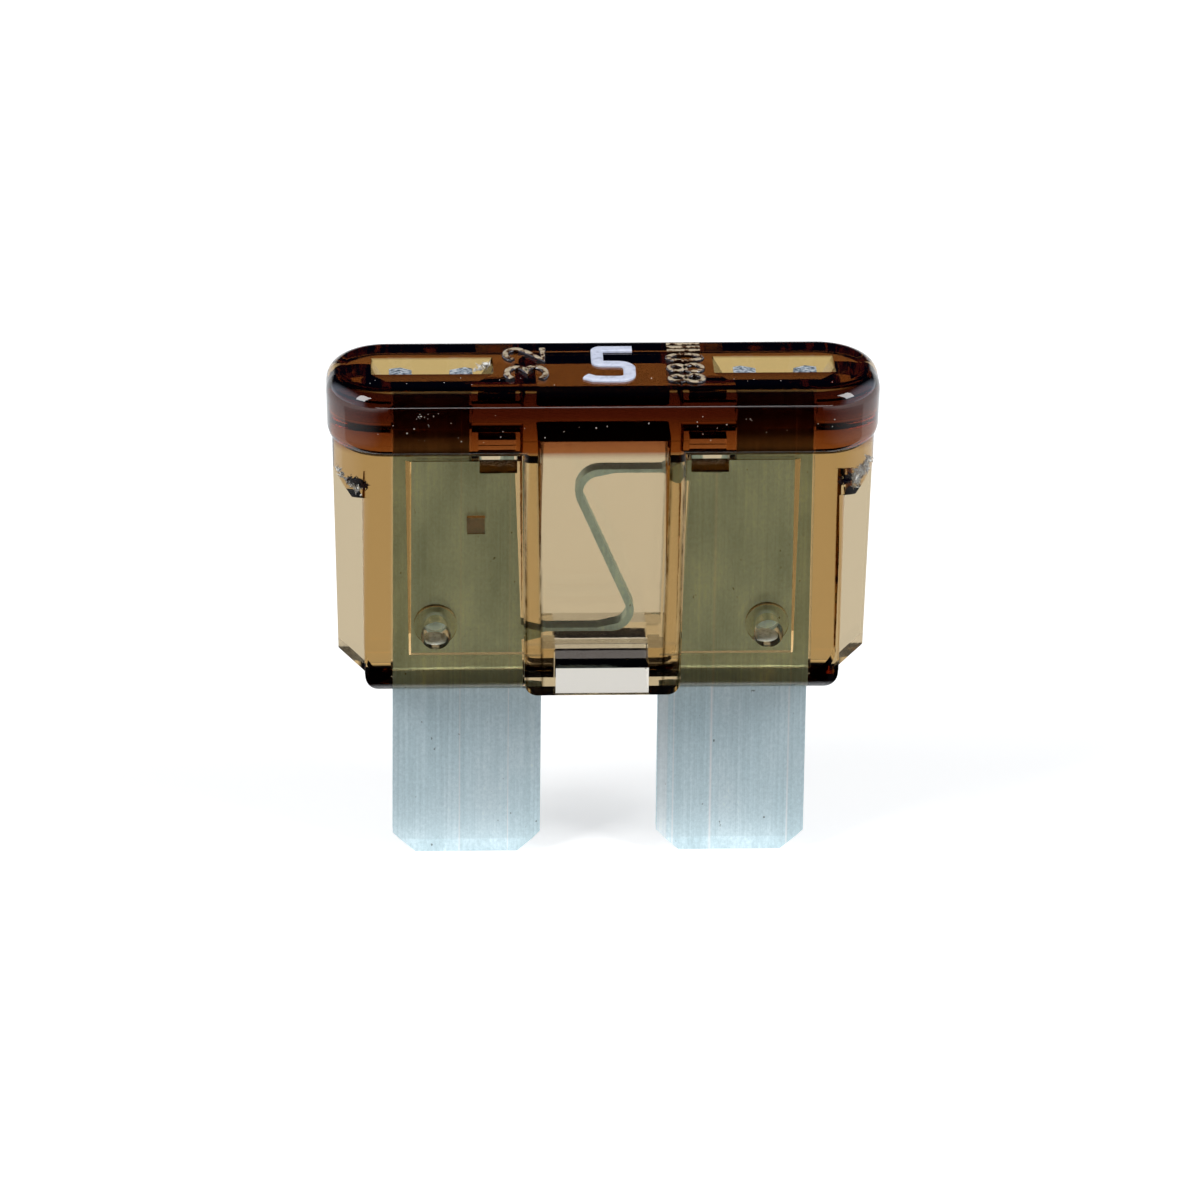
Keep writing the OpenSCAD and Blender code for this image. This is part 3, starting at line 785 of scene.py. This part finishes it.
def surroundings():
    """A studio: white level with the ground, brighter at both sides, dark navy overhead and in front."""
    world = bpy.data.worlds.new("studio")
    bpy.context.scene.world = world
    world.use_nodes = True
    graph = Graph(world.node_tree)
    coords = graph.node("ShaderNodeTexCoord")
    split = graph.node("ShaderNodeSeparateXYZ", {"Vector": coords.outputs["Generated"]})
    x, y, z = split.outputs["X"], split.outputs["Y"], split.outputs["Z"]
    sky = graph.ramp(z, [(HORIZON_WHITE, grey(1)), (HORIZON_DARK, NIGHT), (1.0, NIGHT)], "EASE")
    sides = graph.ramp(graph.math("ABSOLUTE", x), [(0.55, grey(0)), (0.85, SIDE_LIGHT)], "EASE")
    front = graph.ramp(graph.math("MULTIPLY", y, -1.0), [(0.30, grey(1)), (0.55, FRONT_NIGHT)], "EASE")
    studio = graph.mix(1.0, graph.mix(1.0, sky, front, "MULTIPLY"), sides, "ADD")
    ray = graph.node("ShaderNodeLightPath").outputs
    sharp = graph.math("MAXIMUM", ray["Is Transmission Ray"], ray["Is Glossy Ray"])
    fill = graph.node("ShaderNodeBackground", {"Color": rgba(FILL_COLOUR), "Strength": FILL_STRENGTH})
    seen = graph.node("ShaderNodeBackground", {"Color": studio, "Strength": 1.0})
    white = graph.node("ShaderNodeBackground", {"Color": rgba(grey(1)), "Strength": 1.0})
    light = mixed(graph, sharp, fill.outputs[0], seen.outputs[0])
    light = mixed(graph, ray["Is Camera Ray"], light, white.outputs[0])
    graph.node("ShaderNodeOutputWorld", {"Surface": light})


def lamps():
    """Softboxes that look at the fuse."""
    for name, place, size, watts in LAMPS:
        data = bpy.data.lights.new(name, "AREA")
        data.shape = "RECTANGLE"
        data.size, data.size_y = size
        data.energy = watts
        lamp = bpy.data.objects.new(name, data)
        bpy.context.collection.objects.link(lamp)
        lamp.location = place
        lamp.rotation_euler = (CAMERA_AIM - Vector(place)).to_track_quat("-Z", "Y").to_euler()


def photo_camera():
    """Camera at the photograph's angle."""
    back = Vector(
        (
            math.sin(CAMERA_AZIMUTH) * math.cos(CAMERA_ELEVATION),
            -math.cos(CAMERA_AZIMUTH) * math.cos(CAMERA_ELEVATION),
            math.sin(CAMERA_ELEVATION),
        )
    )
    right = Vector((math.cos(CAMERA_AZIMUTH), math.sin(CAMERA_AZIMUTH), 0))
    up = back.cross(right)
    rolled_right = math.cos(CAMERA_ROLL) * right + math.sin(CAMERA_ROLL) * up
    rolled_up = math.cos(CAMERA_ROLL) * up - math.sin(CAMERA_ROLL) * right
    data = bpy.data.cameras.new("camera")
    data.lens = CAMERA_LENS_MM
    data.sensor_width = CAMERA_SENSOR_MM
    data.clip_start = 0.01
    data.clip_end = 50
    camera = bpy.data.objects.new("camera", data)
    bpy.context.collection.objects.link(camera)
    turn = Matrix((rolled_right, rolled_up, back)).transposed()
    camera.matrix_world = Matrix.Translation(CAMERA_AIM + CAMERA_DISTANCE * back) @ turn.to_4x4()
    bpy.context.scene.camera = camera


dress(HOUSING, clear_plastic())
dress(STRIP, zinc())
rating_figure()
raised_marks()
painted_pit_highlights()
gate_stain()
tears_and_shade()
dust()

ground()
surroundings()
lamps()
photo_camera()

bpy.context.scene.view_settings.view_transform = "Standard"
